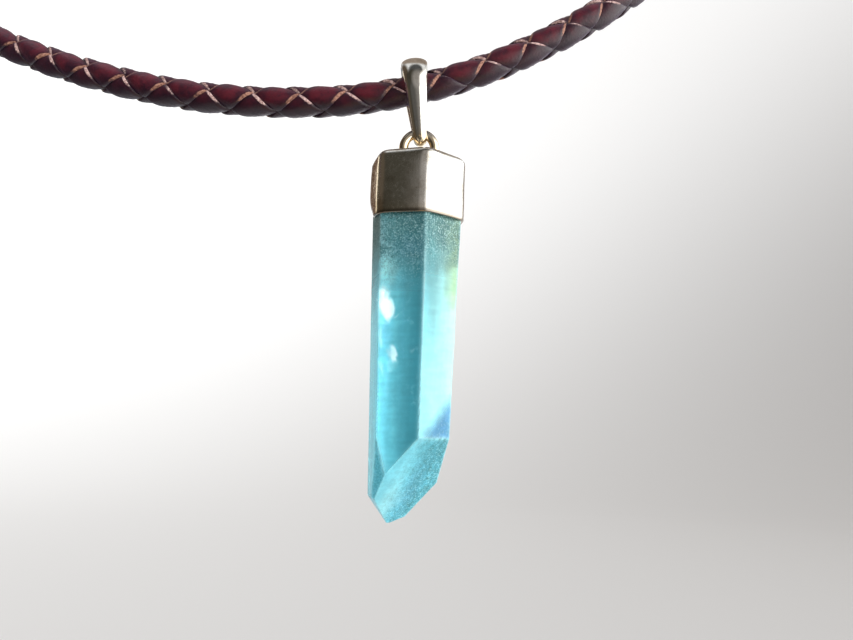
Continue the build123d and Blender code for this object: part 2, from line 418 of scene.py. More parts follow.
def bail_strap():
    """The bail: a domed strap carried round the teardrop, narrowing from the saddle to the foot."""
    lean = radians(bail_lean)
    foot_drop = ring_top_drop / cos(lean)
    steps = (28, 16, 18)
    inside = teardrop(bail_saddle_radius, bail_foot_radius, foot_drop, *steps)
    outside = teardrop(bail_saddle_radius + bail_saddle_wall, bail_foot_radius + bail_foot_wall,
                       foot_drop, *steps)
    height = bail_section[None, :, 1, None]
    line = inside[:, None] * (1 - height) + outside[:, None] * height
    top = bail_saddle_radius + bail_saddle_wall
    bottom = -foot_drop - bail_foot_radius - bail_foot_wall
    share = (line[..., 1] - bottom) / (top - bottom)
    width = bail_width_foot + (bail_width_top - bail_width_foot) * share
    sideways = bail_section[None, :, 0] * width / 2
    side_axis = np.array([cos(lean), 0.0, sin(lean)])
    up_axis = np.array([-sin(lean), 0.0, cos(lean)])
    points = (saddle + sideways[..., None] * side_axis + line[..., :1] * np.array([0.0, 1.0, 0.0])
              + line[..., 1:] * up_axis)
    return grid_mesh("bail_strap", points, closed_along=True)


def ring_wire():
    """The ring: round wire turned about the level axis through the ring's centre."""
    ring_steps, wire_steps = 96, 28
    round_ring = np.linspace(0, 2 * pi, ring_steps, endpoint=False)[:, None]
    round_wire = np.linspace(0, 2 * pi, wire_steps, endpoint=False)[None, :]
    reach = ring_radius + ring_wire_radius * np.cos(round_wire)
    depth = np.broadcast_to(ring_wire_radius * np.sin(round_wire), (ring_steps, wire_steps))
    points = np.stack([reach * np.sin(round_ring), depth, reach * np.cos(round_ring)], axis=-1)
    return grid_mesh("ring_wire", ring_centre + points, closed_along=True)


def solder_seam():
    """Solder at the ring's foot: a low mound whose height falls off as a cosine to the cap's top."""
    rows, columns = 14, 48
    round_mound = np.linspace(0, 2 * pi, columns, endpoint=False)[None, :]
    share = np.linspace(0.04, 1.0, rows)[:, None]
    height = solder_height * np.cos(share * pi / 2) ** 1.5 - solder_sink * share
    foot = drop_axis - [0.0, 0.0, cap_top_drop]
    points = np.stack([solder_length * share * np.cos(round_mound),
                       solder_breadth * share * np.sin(round_mound),
                       np.broadcast_to(height, (rows, columns))], axis=-1)
    return grid_mesh("solder_seam", foot + points, poles=True)


def outline_reach(turns, distances, azimuth, reach, middle=(0.0, 0.0), swell=0.0):
    """How far a many-sided outline lies from `middle` by azimuth, its corners rounded by `reach`.

    A side facing `turn` at `distance` is met at distance over the cosine of the angle between them.
    Each side swells by `swell` at its middle, less the square of that angle over half a side's.
    """
    grazing, far_away = 0.02, 1e3
    facing = np.cos(azimuth[None] - turns)
    own = distances - (np.sin(turns) * middle[0] - np.cos(turns) * middle[1])
    met = np.where(facing > grazing, own / np.maximum(facing, grazing), far_away)
    met = met + swell * (1 - (np.arccos(np.clip(facing, -1, 1)) / (pi / 6)) ** 2)
    return blended_least(met, reach)


def cap_shell():
    """The cap: its six-sided outline, each side swollen a little, carried down a section.

    The section runs from the top's middle over the shoulder, down the wall, round the rim and back up
    inside. Shallow dents from handling are taken off the wall, and the rim wavers.
    """
    shoulder = np.linspace(0.0, pi / 2, 10)
    rim = np.linspace(0.0, pi, 9)[1:-1]
    lip = cap_wall / 2
    # Rows of the section: (scale of the outline, distance in from the outer faces, drop below the top)
    rows = [(s, cap_shoulder, 0.0) for s in (0.06, 0.2, 0.4, 0.6, 0.8, 0.92)]
    rows += [(1.0, cap_shoulder * (1 - sin(a)), cap_shoulder * (1 - cos(a))) for a in shoulder]
    rows += [(1.0, 0.0, d) for d in np.linspace(cap_shoulder, cap_height - lip, 26)[1:]]
    rows += [(1.0, lip * (1 - cos(a)), cap_height - lip + lip * sin(a)) for a in rim]
    rows += [(1.0, cap_wall, d) for d in (cap_height - lip, cap_height / 2, cap_top_wall + 0.1)]
    rows += [(s, cap_wall, cap_top_wall) for s in (0.97, 0.5, 0.1)]
    rows = np.array(rows)
    columns = 264
    azimuth = np.broadcast_to(np.linspace(0, 2 * pi, columns, endpoint=False), (len(rows), columns))
    turns = np.radians(cap_turn + 60.0 * np.arange(6))[:, None, None]
    distances = cap_flats[:, None, None] - rows[None, :, 1, None]
    drop = rows[:, 2, None]
    wall = rows[:, 0, None] == 1.0
    swell = cap_swell * rise(drop, 0.0, swell_drop) * wall
    reach = outline_reach(turns, distances, azimuth, cap_corner_reach, swell=swell) * rows[:, 0, None]
    dents = dent_depth * ripple(41, *turning(azimuth, 2.2), drop / 1.1, waves=9)
    waver = rim_waver * ripple(57, *turning(azimuth, 1.5), waves=5) * rise(drop, 3.5, 5.5)
    tuck = np.exp(-((azimuth - radians(tuck_azimuth)) / tuck_breadth) ** 2) * rise(drop, 3.4, 5.8) ** 2
    reach = reach + (dents - dent_depth - tuck_depth * tuck) * wall
    waver = waver + tuck_lift * tuck
    points = np.stack([reach * np.sin(azimuth), -reach * np.cos(azimuth), -drop + waver], axis=-1)
    return grid_mesh("cap_shell", drop_axis - [0.0, 0.0, cap_top_drop] + points, poles=True)


# Crystal

mouth_drop = cap_top_drop + cap_height
prism_flats = cap_flats - cap_wall - crystal_gap
cot = {slope: 1 / tan(radians(slope)) for slope in (point_slope, chip_slope, bevel_slope)}
main_distance = prism_flats[1] - taper_per_mm[1] * (main_face_drop - mouth_drop)
left_distance = prism_flats[5] - taper_per_mm[5] * (left_face_drop - mouth_drop)
# Faces of the point: (azimuth, distance from the axis at a drop, that drop, distance lost per mm)
point_faces = np.array([
    (cap_turn + 60.0, main_distance, main_face_drop, cot[point_slope]),
    (cap_turn - 60.0, left_distance, left_face_drop, cot[point_slope]),
    (cap_turn + 180.0, chip_distance, chip_drop, cot[chip_slope]),
    (cap_turn - 30.0, bevel_distance, bevel_drop, cot[bevel_slope])])
face_turns = np.radians(np.concatenate([cap_turn + 60.0 * np.arange(6), point_faces[:, 0]]))


def face_distances(drop):
    """Distance of every crystal face from the axis at each drop, faces first."""
    prism = prism_flats[:, None] - taper_per_mm[:, None] * np.maximum(drop - mouth_drop, 0.0)
    point = point_faces[:, 1, None] - point_faces[:, 3, None] * (drop - point_faces[:, 2, None])
    return np.vstack([prism, point])


def crystal_tip():
    """The lowest point that all faces leave standing, as (x, y, drop) about the axis.

    Each face is the plane x sin(turn) - y cos(turn) + loss drop = distance at drop zero, three faces
    meet in a corner, and the tip is the lowest corner that no other face cuts off.
    """
    loss = np.concatenate([taper_per_mm, point_faces[:, 3]])
    level = np.concatenate([prism_flats + taper_per_mm * mouth_drop,
                            point_faces[:, 1] + point_faces[:, 3] * point_faces[:, 2]])
    planes = np.stack([np.sin(face_turns), -np.cos(face_turns), loss], axis=1)
    best = np.zeros(3)
    for three in combinations(range(len(planes)), 3):
        chosen = list(three)
        if abs(np.linalg.det(planes[chosen])) < 1e-6:
            continue
        corner = np.linalg.solve(planes[chosen], level[chosen])
        if (planes @ corner <= level + 1e-6).all() and corner[2] > best[2]:
            best = corner
    return best


# Colours of the thin coating that tints the crystal, which also stand for painted light and shade on its
# faces
deep_teal = (0.008, 0.165, 0.21)
aqua = (0.06, 0.50, 0.62)
bright_aqua = (0.26, 0.86, 1.00)
pale_aqua = (0.50, 0.90, 0.96)
grey_teal = (0.12, 0.30, 0.31)
green_glint = (0.45, 0.72, 0.28)
violet_glint = (0.01, 0.21, 0.50)
milk_white = (1.00, 1.00, 1.00)
# Tint of each crystal face at its left edge and at its right edge, seen from outside: the coating's colour
# with painted light and shade in it
face_tints = np.array([
    (bright_aqua, deep_teal), ((0.12, 0.50, 0.56), (0.42, 0.84, 0.82)), (aqua, bright_aqua),
    (pale_aqua, aqua), (bright_aqua, aqua), (pale_aqua, bright_aqua),
    ((0.20, 0.62, 0.72), (0.10, 0.46, 0.58)),
    (aqua, bright_aqua), (bright_aqua, aqua), ((0.10, 0.44, 0.54), (0.20, 0.60, 0.70))])
# Clouds on the faces, partly the coating's colour and partly painted light and shade, dark just under the
# cap and bright low on the right face: (face, across from -1 to 1, drop, half width, half height, colour,
# strength)
coat_and_light_clouds = [
    (front_right, 0.80, 18.6, 0.42, 3.4, green_glint, 0.85),
    (front_right, -0.1, 13.4, 1.7, 3.2, (0.06, 0.17, 0.14), 0.92),
    (front_right, 0.9, 14.4, 0.5, 2.6, (0.20, 0.31, 0.12), 0.8),
    (front_right, -0.6, 16.8, 0.5, 3.0, (0.05, 0.32, 0.36), 0.7),
    (front_left, -0.2, 14.2, 2.5, 3.4, grey_teal, 0.75),
    (front_left, -0.74, 17.3, 0.38, 1.7, (0.50, 1.00, 1.00), 0.9),
    (front_left, -0.96, 15.3, 0.22, 1.4, (0.34, 0.62, 0.68), 0.7),
    (front_left, 0.2, 15.6, 0.9, 1.0, (0.09, 0.28, 0.40), 0.5),
    (front_left, -0.70, 22.8, 0.28, 1.1, (0.22, 0.50, 0.72), 0.45),
    (front_right, -0.2, 28.0, 0.9, 4.0, (0.36, 0.94, 1.00), 0.9),
    (far_left, 0.0, 13.5, 2.0, 3.0, (0.10, 0.18, 0.17), 0.8),
    (point_face, 0.75, 32.4, 0.7, 1.6, (0.06, 0.30, 0.37), 0.6),
    (point_face, 0.2, 36.4, 0.5, 3.0, (0.08, 0.36, 0.56), 0.4),
    (point_face, -0.6, 37.2, 0.5, 2.8, (0.50, 0.86, 0.88), 0.6)]
# White veils just under the front-left face, and bites out of them with less than no strength: (across,
# drop, half width, half height, lean in degrees, edge where it's sharp, edge where it's soft, strength)
veils = [
    (-0.64, 20.5, 0.82, 1.50, 0.0, 0.30, 0.9, 1.0), (-0.86, 19.7, 0.46, 1.15, 0.0, 0.5, 1.0, 0.9),
    (-0.50, 18.9, 0.42, 0.42, 30.0, 0.5, 0.6, -0.8), (-0.56, 21.9, 0.5, 0.35, 0.0, 0.6, 0.9, -0.5),
    (-0.34, 24.7, 0.46, 0.92, 30.0, 0.30, 1.1, 0.72), (-0.44, 24.2, 0.12, 0.5, 30.0, 0.6, 0.9, -0.4),
    (-0.84, 23.4, 0.28, 0.95, 0.0, 0.8, 1.0, 0.5), (-0.76, 25.9, 0.30, 0.75, 12.0, 0.7, 1.0, 0.5),
    (-0.20, 21.5, 0.12, 0.42, -50.0, 0.7, 1.0, 0.5), (0.50, 24.4, 0.24, 0.36, -40.0, 0.9, 1.2, 0.25)]
# Waves round a veil's outline: (how many, how deep, how far each veil turns them)
veil_waves = [(2, 0.13, 1), (3, 0.10, 2), (7, 0.05, 0)]
veil_crumple = 0.16
veil_streak_level = 0.78
veil_streak_depth = 0.16
veil_soft_way = 0.8
veil_power = 1.4
# The violet corner: its edge's place across the face at the bottom, its move right for each millimetre up
violet_start = -0.95
violet_step = 1.75 / 4.2
violet_breadth = 0.75
violet_top = 25.5
violet_strength = 0.95
cloud_wander = 0.35
mottle_down, mottle_across = 0.06, 0.05


def veil_share(across_face, drop):
    """Share of white veil: each is an oval whose outline swells and shrinks round it by three waves.

    Its brightness falls off over the edge's breadth, which goes from sharp low on the right to soft
    high on the left, and faint streaks run down it.
    """
    crumple = veil_crumple * ripple(77, across_face * 10, drop * 4.5, waves=14)
    streaks = veil_streak_level + veil_streak_depth * ripple(78, across_face * 16, drop * 1.3, waves=12)
    milk = np.zeros_like(across_face)
    for number, (level, middle, wide, high, lean, sharp, soft, strength) in enumerate(veils):
        sideways, down = (across_face - level) * half_face, drop - middle
        a = radians(lean)
        along = (down * cos(a) + sideways * sin(a)) / high
        aside = (sideways * cos(a) - down * sin(a)) / wide
        way = np.arctan2(aside, along)
        outline = 1 + sum(deep * np.sin(count * way + shift * number) for count, deep, shift in veil_waves)
        edge = sharp + (soft - sharp) * (0.5 - 0.5 * np.cos(way - veil_soft_way)) ** 2
        share = np.clip((outline + crumple - np.hypot(along, aside)) / edge, 0, 1) * streaks
        milk = np.maximum(milk, strength * share) if strength > 0 else milk * (1 + strength * share)
    return np.clip(milk, 0, 1) ** veil_power


def coat_and_light_tint(face, across_face, drop):
    """Colour of the coating with painted light and shade in it, its share of milk and its share of violet.

    Each face blends from edge to edge, then come clouds, each a bell round its middle, a violet corner
    low on the right face, and the white veils. The blends and the clouds are partly the coating's colour
    and partly painted light and shade.
    """
    share = np.clip(across_face / 2 + 0.5, 0, 1)[..., None]
    share = share * share * (3 - 2 * share)
    # Painted light and shade with the coating's colour: each face's blend from edge to edge
    tint = face_tints[face, 0] * (1 - share) + face_tints[face, 1] * share
    wander = 1 + cloud_wander * ripple(12, across_face * 5, drop * 1.7, waves=9)
    for of_face, level, middle, wide, high, colour, strength in coat_and_light_clouds:
        away = ((across_face - level) / wide) ** 2 + ((drop - middle) / high) ** 2
        cloud = (strength * np.exp(-away * wander) * (face == of_face))[..., None]
        tint = tint * (1 - cloud) + np.array(colour) * cloud
    edge_of_violet = violet_start + violet_step * (main_face_drop - drop)
    violet = violet_strength * rise(across_face, edge_of_violet, edge_of_violet + violet_breadth)
    violet = violet * (drop > violet_top) * (face == front_right)
    tint = tint * (1 - violet[..., None]) + np.array(violet_glint) * violet[..., None]
    mottle = 1 + mottle_down * ripple(31, across_face * 11, drop * 0.9, face * 2.0, waves=12)
    mottle = mottle + mottle_across * ripple(32, across_face * 2.5, drop * 9, face * 2.0, waves=16)
    tint = np.clip(tint * mottle[..., None], 0, 1)
    milk = veil_share(across_face, drop) * (face == front_left)
    return tint * (1 - milk[..., None]) + np.array(milk_white) * milk[..., None], milk, violet


def frost_share(face, across_face, below, edge_highlight, violet):
    """Share of frost: a bell that falls off below the cap's mouth, and some on all of the point's faces.

    Edges, the violet corner and the front-left face keep at least a little.
    """
    fall_length = np.where(face == front_left, 6.0, 4.6)
    frost = np.exp(-(np.maximum(below, 0) / fall_length) ** 2)
    frost = np.where(face == point_face, 0.55 + 0.25 * np.clip(across_face, -1, 1), frost)
    frost = np.maximum(np.where(face > point_face, 0.5, frost), 0.6 * edge_highlight)
    return np.maximum(frost, np.maximum(0.45 * violet, 0.22 * (face == front_left)))


def glow_share(face, across_face, below, violet):
    """Share of painted light from inside, given off as a glow: it fades to the right on the front-left face
    and grows on the right one.

    It starts a little below the cap's mouth, and the point has the same all over.
    """
    glow = np.where(face == front_left, 1 - rise(across_face, -1.0, 0.0), 0.55)
    glow = np.where(face == front_right, 0.6 + 0.3 * across_face - 0.6 * violet, glow)
    return np.where(face >= point_face, 0.35, glow * rise(below, 2.5, 9.5))


def crystal_point():
    """The crystal: at each drop the outline left by all its faces, with edges rounded a little.

    It is taken about a line that runs down the axis and then straight to the tip, which is softened.
    """
    tip = crystal_tip()
    top = cap_top_drop + cap_top_wall + crystal_top_gap
    lowest = tip[2] - tip_blunting
    body_count, point_count, crowding = 190, 140, 1.35
    body_rows = np.linspace(top, point_bend, body_count, endpoint=False)
    share = np.linspace(0.0, 1.0, point_count)
    point_rows = point_bend + (lowest - point_bend) * (1 - (1 - share) ** crowding)
    drop = np.concatenate([body_rows, point_rows])[:, None]
    columns = 288
    azimuth = np.broadcast_to(np.linspace(0, 2 * pi, columns, endpoint=False), (len(drop), columns))
    lead = rise(drop, point_bend, tip[2])
    middle = (tip[0] * lead, tip[1] * lead)
    distances = face_distances(drop[:, 0])[:, :, None]
    turns = face_turns[:, None, None]
    room = (distances - (np.sin(turns) * middle[0] - np.cos(turns) * middle[1])).min(axis=0)
    wear = edge_wear + wear_wander * ripple(73, *turning(azimuth, 3.0), drop / 1.6, waves=8)
    reach = outline_reach(turns, distances, azimuth, np.minimum(wear, 0.9 * room), middle)
    growth = growth_depth * ripple(91, *turning(azimuth, 0.8), drop * 2.3, waves=7)
    reach = reach - np.minimum(growth_depth, 0.06 * room) * (drop > mouth_drop) + growth * (room > 0.5)
    points = np.stack([middle[0] + reach * np.sin(azimuth), middle[1] - reach * np.cos(azimuth),
                       np.broadcast_to(-drop, azimuth.shape)], axis=-1)
    depth = distances - (np.sin(turns) * points[..., 0] - np.cos(turns) * points[..., 1])
    face = depth.argmin(axis=0)
    first, second = np.partition(depth, 1, axis=0)[:2]
    sideways = points[..., 0] * np.cos(face_turns[face]) + points[..., 1] * np.sin(face_turns[face])
    across_face = sideways / half_face
    drop = np.broadcast_to(drop, azimuth.shape)
    below = drop - mouth_drop
    tint, milk, violet = coat_and_light_tint(face, across_face, drop)
    # Painted highlight: a pale aqua line along each edge of the crystal below the cap's mouth
    edge_highlight_strength, edge_highlight_breadth = 0.75, 0.10
    edge_highlight = edge_highlight_strength * np.exp(-(second - first) / edge_highlight_breadth) * (below > 0)
    tint = tint * (1 - edge_highlight[..., None]) + np.array(pale_aqua) * edge_highlight[..., None]
    frost = frost_share(face, across_face, below, edge_highlight, violet)
    tint = np.concatenate([tint, frost[..., None]], axis=-1)
    glow = glow_share(face, across_face, below, violet)
    return grid_mesh("crystal_point", drop_axis + points, poles=True, marks={"milk": milk, "glow": glow},
                     tint=tint)


# Inclusions: thin crumpled flakes inside the crystal, (name, x, y, drop, half width, half height, lean)
flakes = [("flake_1", -2.3, -1.9, 20.6, 0.75, 1.45, 8.0), ("flake_2", -1.5, -1.9, 25.4, 0.5, 0.8, -25.0)]
flake_unevenness = 0.22
flake_half_thickness = 0.05


def flake(name, x, y, drop, half_width, half_height, lean):
    """A flake: an uneven disc with a crumpled face, a tenth of a millimetre thick."""
    seed = seed_of(name)
    round_flake = np.linspace(0, 2 * pi, 72, endpoint=False)[None, :]
    share = np.concatenate([np.linspace(0.05, 1.0, 16), np.linspace(1.0, 0.05, 16)])[:, None]
    front = np.concatenate([np.ones(16), -np.ones(16)])[:, None]
    outline = 1 + flake_unevenness * ripple(seed, *turning(round_flake, 2), waves=9)
    level = half_width * share * outline * np.cos(round_flake)
    height = half_height * share * outline * np.sin(round_flake)
    crumple = flake_unevenness * ripple(seed + 1, level * 2.4, height * 2.4, waves=9)
    depth = crumple - flake_half_thickness * front * (1 - share**4)
    a = radians(lean)
    points = np.stack([x + level * cos(a) - height * sin(a), y + depth,
                       -drop + height * cos(a) + level * sin(a)], axis=-1)
    return grid_mesh(name, drop_axis + points, poles=True)


# Materials

# Patterns in waves a metre
dye_mottle = 900.0
raw_fibre = 5200.0
leather_pore = 6500.0
silver_cloud = 420.0
silver_speck = 4200.0
silver_scratch = 16000.0
silver_hammering = 1500.0
frost_grain = 7400.0
frost_patch = 2300.0
quartz_cloud = 1300.0
quartz_growth = 2200.0
fracture_vein = 2400.0
# Heights of relief in metres
leather_relief = 0.00004
scratch_relief = 0.000006
hammered_relief = 0.00002
growth_relief = 0.00001
frost_relief = 0.00004
# Colours
# The leather runs from the first colour to the second by its mottle, and also as painted light and shade:
# darker where a lace turns aside or slips under, redder where its middle faces out and lies on top
dark_dye_and_shade = (0.010, 0.003, 0.010, 1)
oxblood = (0.105, 0.007, 0.016, 1)
leather_sheen = (0.55, 0.45, 0.85, 1)
plain_silver = (0.84, 0.82, 0.78, 1)
golden_silver = (0.90, 0.75, 0.53, 1)
tarnish_brown = (0.34, 0.28, 0.19, 1)
# Painted shade along the cap's rim, where it meets the crystal
rim_shade_brown = (0.13, 0.10, 0.075, 1)
# Painted shade in the crystal's frosted parts
frost_shade_teal = (0.03, 0.20, 0.23, 1)
cloudy_aqua = (0.45, 0.90, 1.0, 1)
dull_teal = (0.015, 0.13, 0.14, 1)
pit_teal = (0.015, 0.12, 0.14, 1)
sparkle_aqua = (0.55, 0.86, 0.90, 1)
no_light = (0.0, 0.0, 0.0, 1)
milky_light = (0.80, 1.0, 1.0, 1)
deep_aqua = (0.10, 0.78, 0.85, 1)


def new_material(name):
    """A material with its node tree and its shader."""
    material = bpy.data.materials.new(name)
    material.use_nodes = True
    tree = material.node_tree
    shader = tree.nodes["Principled BSDF"]
    return material, tree, shader


def add_node(tree, kind, settings=None, **inputs):
    """A node with its settings, and its inputs set to a value or linked to a socket."""
    node = tree.nodes.new(kind)
    for key, value in (settings or {}).items():
        setattr(node, key, value)
    fill(tree, node, inputs)
    return node


def fill(tree, node, inputs):
    """Sets the node's inputs, each by its name or as i and its number, to a value or links it to a socket."""
    for key, value in inputs.items():
        socket = node.inputs[int(key[1:])] if key[0] == "i" and key[1:].isdigit() else node.inputs[key]
        if isinstance(value, bpy.types.NodeSocket):
            tree.links.new(value, socket)
        else:
            socket.default_value = value


def noise(tree, vector, scale, detail=3.0, roughness=0.5):
    """Noise of about `scale` waves a metre, as a socket between 0 and 1."""
    return add_node(tree, "ShaderNodeTexNoise", Vector=vector, Scale=scale, Detail=detail,
                    Roughness=roughness).outputs["Fac"]


def ease(tree, value, low, high, to_low=0.0, to_high=1.0):
    """The value eased from one range into another."""
    return add_node(tree, "ShaderNodeMapRange", {"interpolation_type": "SMOOTHSTEP"}, i0=value, i1=low,
                    i2=high, i3=to_low, i4=to_high).outputs[0]


def mix_colour(tree, factor, first, second):
    """Two colours mixed by a factor."""
    return add_node(tree, "ShaderNodeMix", {"data_type": "RGBA"}, i0=factor, i6=first, i7=second).outputs[2]


def sums(tree, operation, first, second):
    """One sum of two numbers."""
    return add_node(tree, "ShaderNodeMath", {"operation": operation}, i0=first, i1=second).outputs[0]


def marked(tree, name):
    """A mark that the mesh carries, as a socket."""
    return add_node(tree, "ShaderNodeAttribute", {"attribute_name": name}).outputs["Fac"]


def bump(tree, height, distance, strength=1.0, normal=None):
    """A bump from a height between 0 and 1 that stands for `distance` metres."""
    inputs = {"Height": height, "Distance": distance, "Strength": strength}
    if normal is not None:
        inputs["Normal"] = normal
    return add_node(tree, "ShaderNodeBump", **inputs).outputs[0]


def object_position(tree):
    """Place on the piece in metres, as a socket."""
    return add_node(tree, "ShaderNodeTexCoord").outputs["Object"]


def leather_material(name, raw_low, raw_high):
    """Oxblood leather with raw cut edges: a mottled dyed colour with a painted highlight, redder along a
    lace's middle where it faces out and lies on top, pores, and a gloss.

    The raw edge's fibres run between its two colours.
    """
    material, tree, shader = new_material(name)
    place = object_position(tree)
    mottle = ease(tree, noise(tree, place, dye_mottle, 4.0, 0.6), 0.30, 0.62, 0.25, 1.0)
    # Painted light and shade: redder where a lace's middle faces out and lies on top, darker elsewhere
    mottle_and_painted_light = sums(tree, "MULTIPLY", mottle, ease(tree, marked(tree, "middle"), 0.0, 0.9, 0.12, 1.0))
    dye_with_painted_light = mix_colour(tree, mottle_and_painted_light, dark_dye_and_shade, oxblood)
    fray = noise(tree, place, raw_fibre, 3.0, 0.65)
    raw = mix_colour(tree, ease(tree, fray, 0.3, 0.7), raw_low, raw_high)
    frayed_edge = sums(tree, "ADD", marked(tree, "edge"), sums(tree, "MULTIPLY", fray, 0.5))
    share = ease(tree, frayed_edge, 0.72, 1.05)
    grain = bump(tree, noise(tree, place, leather_pore, 2.0, 0.6), leather_relief, 0.8)
    fill(tree, shader, {"Base Color": mix_colour(tree, share, dye_with_painted_light, raw),
                        "Roughness": ease(tree, share, 0.0, 1.0, 0.30, 0.75),
                        "Sheen Weight": 0.12, "Sheen Tint": leather_sheen,
                        "Normal": bump(tree, fray, leather_relief, 0.6, grain)})
    return material


def silver_material(name, tarnish, grain, warm_low, warm_high, rim_shade_drop):
    """Silver: bright metal with fine scratches both ways, cloudy roughness and a warm tarnish.

    It turns golden from `warm_high` down to `warm_low`, in millimetres below the saddle. From just above
    the last drop given downwards it is darkened by painted shade, along the cap's rim where it meets the
    crystal.
    """
    material, tree, shader = new_material(name)
    place = object_position(tree)
    cloud = noise(tree, place, silver_cloud, 4.0, 0.6)
    speck = noise(tree, place, silver_speck, 3.0, 0.7)
    level = add_node(tree, "ShaderNodeSeparateXYZ", i0=place).outputs[2]
    warmth = ease(tree, level, (saddle[2] - warm_low) * MM, (saddle[2] - warm_high) * MM, 1.0, 0.0)
    metal = mix_colour(tree, warmth, plain_silver, golden_silver)
    stain = ease(tree, sums(tree, "ADD", cloud, sums(tree, "MULTIPLY", speck, 0.25)), 0.58, 0.92)
    colour = mix_colour(tree, sums(tree, "MULTIPLY", stain, tarnish), metal, tarnish_brown)
    # Painted shade: the bottom of the cap's rim darkened where it meets the crystal
    rim_shade_level = (saddle[2] - rim_shade_drop) * MM
    rim_shade_start, rim_shade_full = 0.42 * MM, 0.12 * MM
    rim_shade = ease(tree, level, rim_shade_level + rim_shade_start, rim_shade_level + rim_shade_full, 0.0, 0.75)
    normal = None
    for turn, strength in ((0.35, 0.35), (-0.9, 0.3)):
        lines = add_node(tree, "ShaderNodeMapping", Vector=place, Rotation=(0.0, turn, 0.4),
                         Scale=(1.0, 1.0, 0.05)).outputs[0]
        normal = bump(tree, noise(tree, lines, silver_scratch, 2.0, 0.6), scratch_relief, strength, normal)
    hammering = noise(tree, place, silver_hammering, 3.0, 0.5)
    fill(tree, shader, {"Metallic": 1.0, "Base Color": mix_colour(tree, rim_shade, colour, rim_shade_brown),
                        "Roughness": ease(tree, speck, 0.25, 0.8, 0.10, 0.10 + 0.22 * grain),
                        "Normal": bump(tree, hammering, hammered_relief * grain, 0.35, normal)})
    return material


def crystal_material():
    """Milky aqua quartz under a thin coloured coating: half clear, blurred inside and glossy outside.

    It is grainy where the surface is frosted, and it glows with painted light.
    """
    material, tree, shader = new_material("aqua_quartz")
    place = object_position(tree)
    coat = add_node(tree, "ShaderNodeAttribute", {"attribute_name": "tint"})
    frost = coat.outputs["Alpha"]
    grainy = ease(tree, frost, 0.15, 0.9)
    grains = noise(tree, place, frost_grain, 1.5, 0.6)
    patches = noise(tree, place, frost_patch, 3.0, 0.6)
    cloud = noise(tree, place, quartz_cloud, 4.0, 0.6)
    frosted = ease(tree, frost, 0.0, 1.0, 0.3, 1.0)
    # Painted shade: the frosted parts, most of all just under the cap, darkened in clouds towards a dark teal
    shade = sums(tree, "MULTIPLY", frosted, ease(tree, cloud, 0.6, 0.35, 0.0, 0.4))
    tinted = mix_colour(tree, shade, coat.outputs["Color"], frost_shade_teal)
    tinted = mix_colour(tree, ease(tree, cloud, 0.55, 0.8, 0.0, 0.2), tinted, cloudy_aqua)
    dull = sums(tree, "MULTIPLY", grainy, ease(tree, patches, 0.50, 0.64, 0.0, 0.6))
    tinted = mix_colour(tree, dull, tinted, dull_teal)
    pits = sums(tree, "MULTIPLY", grainy, ease(tree, grains, 0.52, 0.38, 0.0, 0.55))
    tinted = mix_colour(tree, pits, tinted, pit_teal)
    sparkle = sums(tree, "MULTIPLY", grainy, ease(tree, grains, 0.52, 0.72, 0.0, 0.65))
    tinted = mix_colour(tree, sparkle, tinted, sparkle_aqua)
    # Painted light: the tint given off as a glow where the mark "glow" is high, and a milky glow where the
    # veils are
    lit = mix_colour(tree, sums(tree, "MULTIPLY", marked(tree, "glow"), 0.45), no_light, tinted)
    lit = mix_colour(tree, sums(tree, "MULTIPLY", marked(tree, "milk"), 0.6), lit, milky_light)
    blocked = sums(tree, "MAXIMUM", sparkle, sums(tree, "MULTIPLY", frost, 0.5))
    lines = add_node(tree, "ShaderNodeMapping", Vector=place, Scale=(0.25, 0.25, 1.0)).outputs[0]
    normal = bump(tree, noise(tree, lines, quartz_growth, 3.0, 0.5), growth_relief, 0.25)
    normal = bump(tree, sums(tree, "MULTIPLY", frost, grains), frost_relief, 0.5, normal)
    fill(tree, shader, {"Base Color": tinted, "Roughness": ease(tree, frost, 0.0, 1.0, 0.24, 0.42),
                        "IOR": 1.54, "Specular IOR Level": 0.22, "Coat Roughness": 0.06,
                        "Coat Weight": ease(tree, frost, 0.0, 0.6, 0.55, 0.1),
                        "Transmission Weight": ease(tree, blocked, 0.0, 1.0, 0.50, 0.1),
                        "Emission Color": lit, "Emission Strength": 1.0, "Normal": normal})
    depth = add_node(tree, "ShaderNodeVolumeAbsorption", Color=deep_aqua, Density=110.0)
    tree.links.new(depth.outputs[0], tree.nodes["Material Output"].inputs["Volume"])
    return material


def flake_material():
    """A milky fracture: white, half clear, rough, and glowing a little with painted light."""
    material, tree, shader = new_material("milky_fracture")
    place = object_position(tree)
    veins = noise(tree, place, fracture_vein, 4.0, 0.7)
    white = mix_colour(tree, veins, (0.75, 0.93, 0.95, 1), (1.0, 1.0, 1.0, 1))
    # Painted light: the fracture glows a little with a pale aqua emission
    fill(tree, shader, {"Base Color": white, "Roughness": 0.35,
                        "Alpha": ease(tree, veins, 0.35, 0.6, 0.1, 0.95),
                        "Emission Color": (0.85, 1.0, 1.0, 1), "Emission Strength": 0.45})
    return material


def stage_material():
    """Pale matt ground that glows a little, white on the left and greyer towards the lower right."""
    material, tree, shader = new_material("pale_ground")
    place = add_node(tree, "ShaderNodeSeparateXYZ", i0=object_position(tree))
    slope = sums(tree, "SUBTRACT", sums(tree, "MULTIPLY", place.outputs[0], 0.7), place.outputs[2])
    glow = mix_colour(tree, ease(tree, slope, -0.35, 0.6), (0.80, 0.80, 0.80, 1), (0.24, 0.23, 0.225, 1))
    fill(tree, shader, {"Base Color": (0.25, 0.25, 0.25, 1), "Roughness": 0.8,
                        "Emission Color": glow, "Emission Strength": 1.0})
    return material


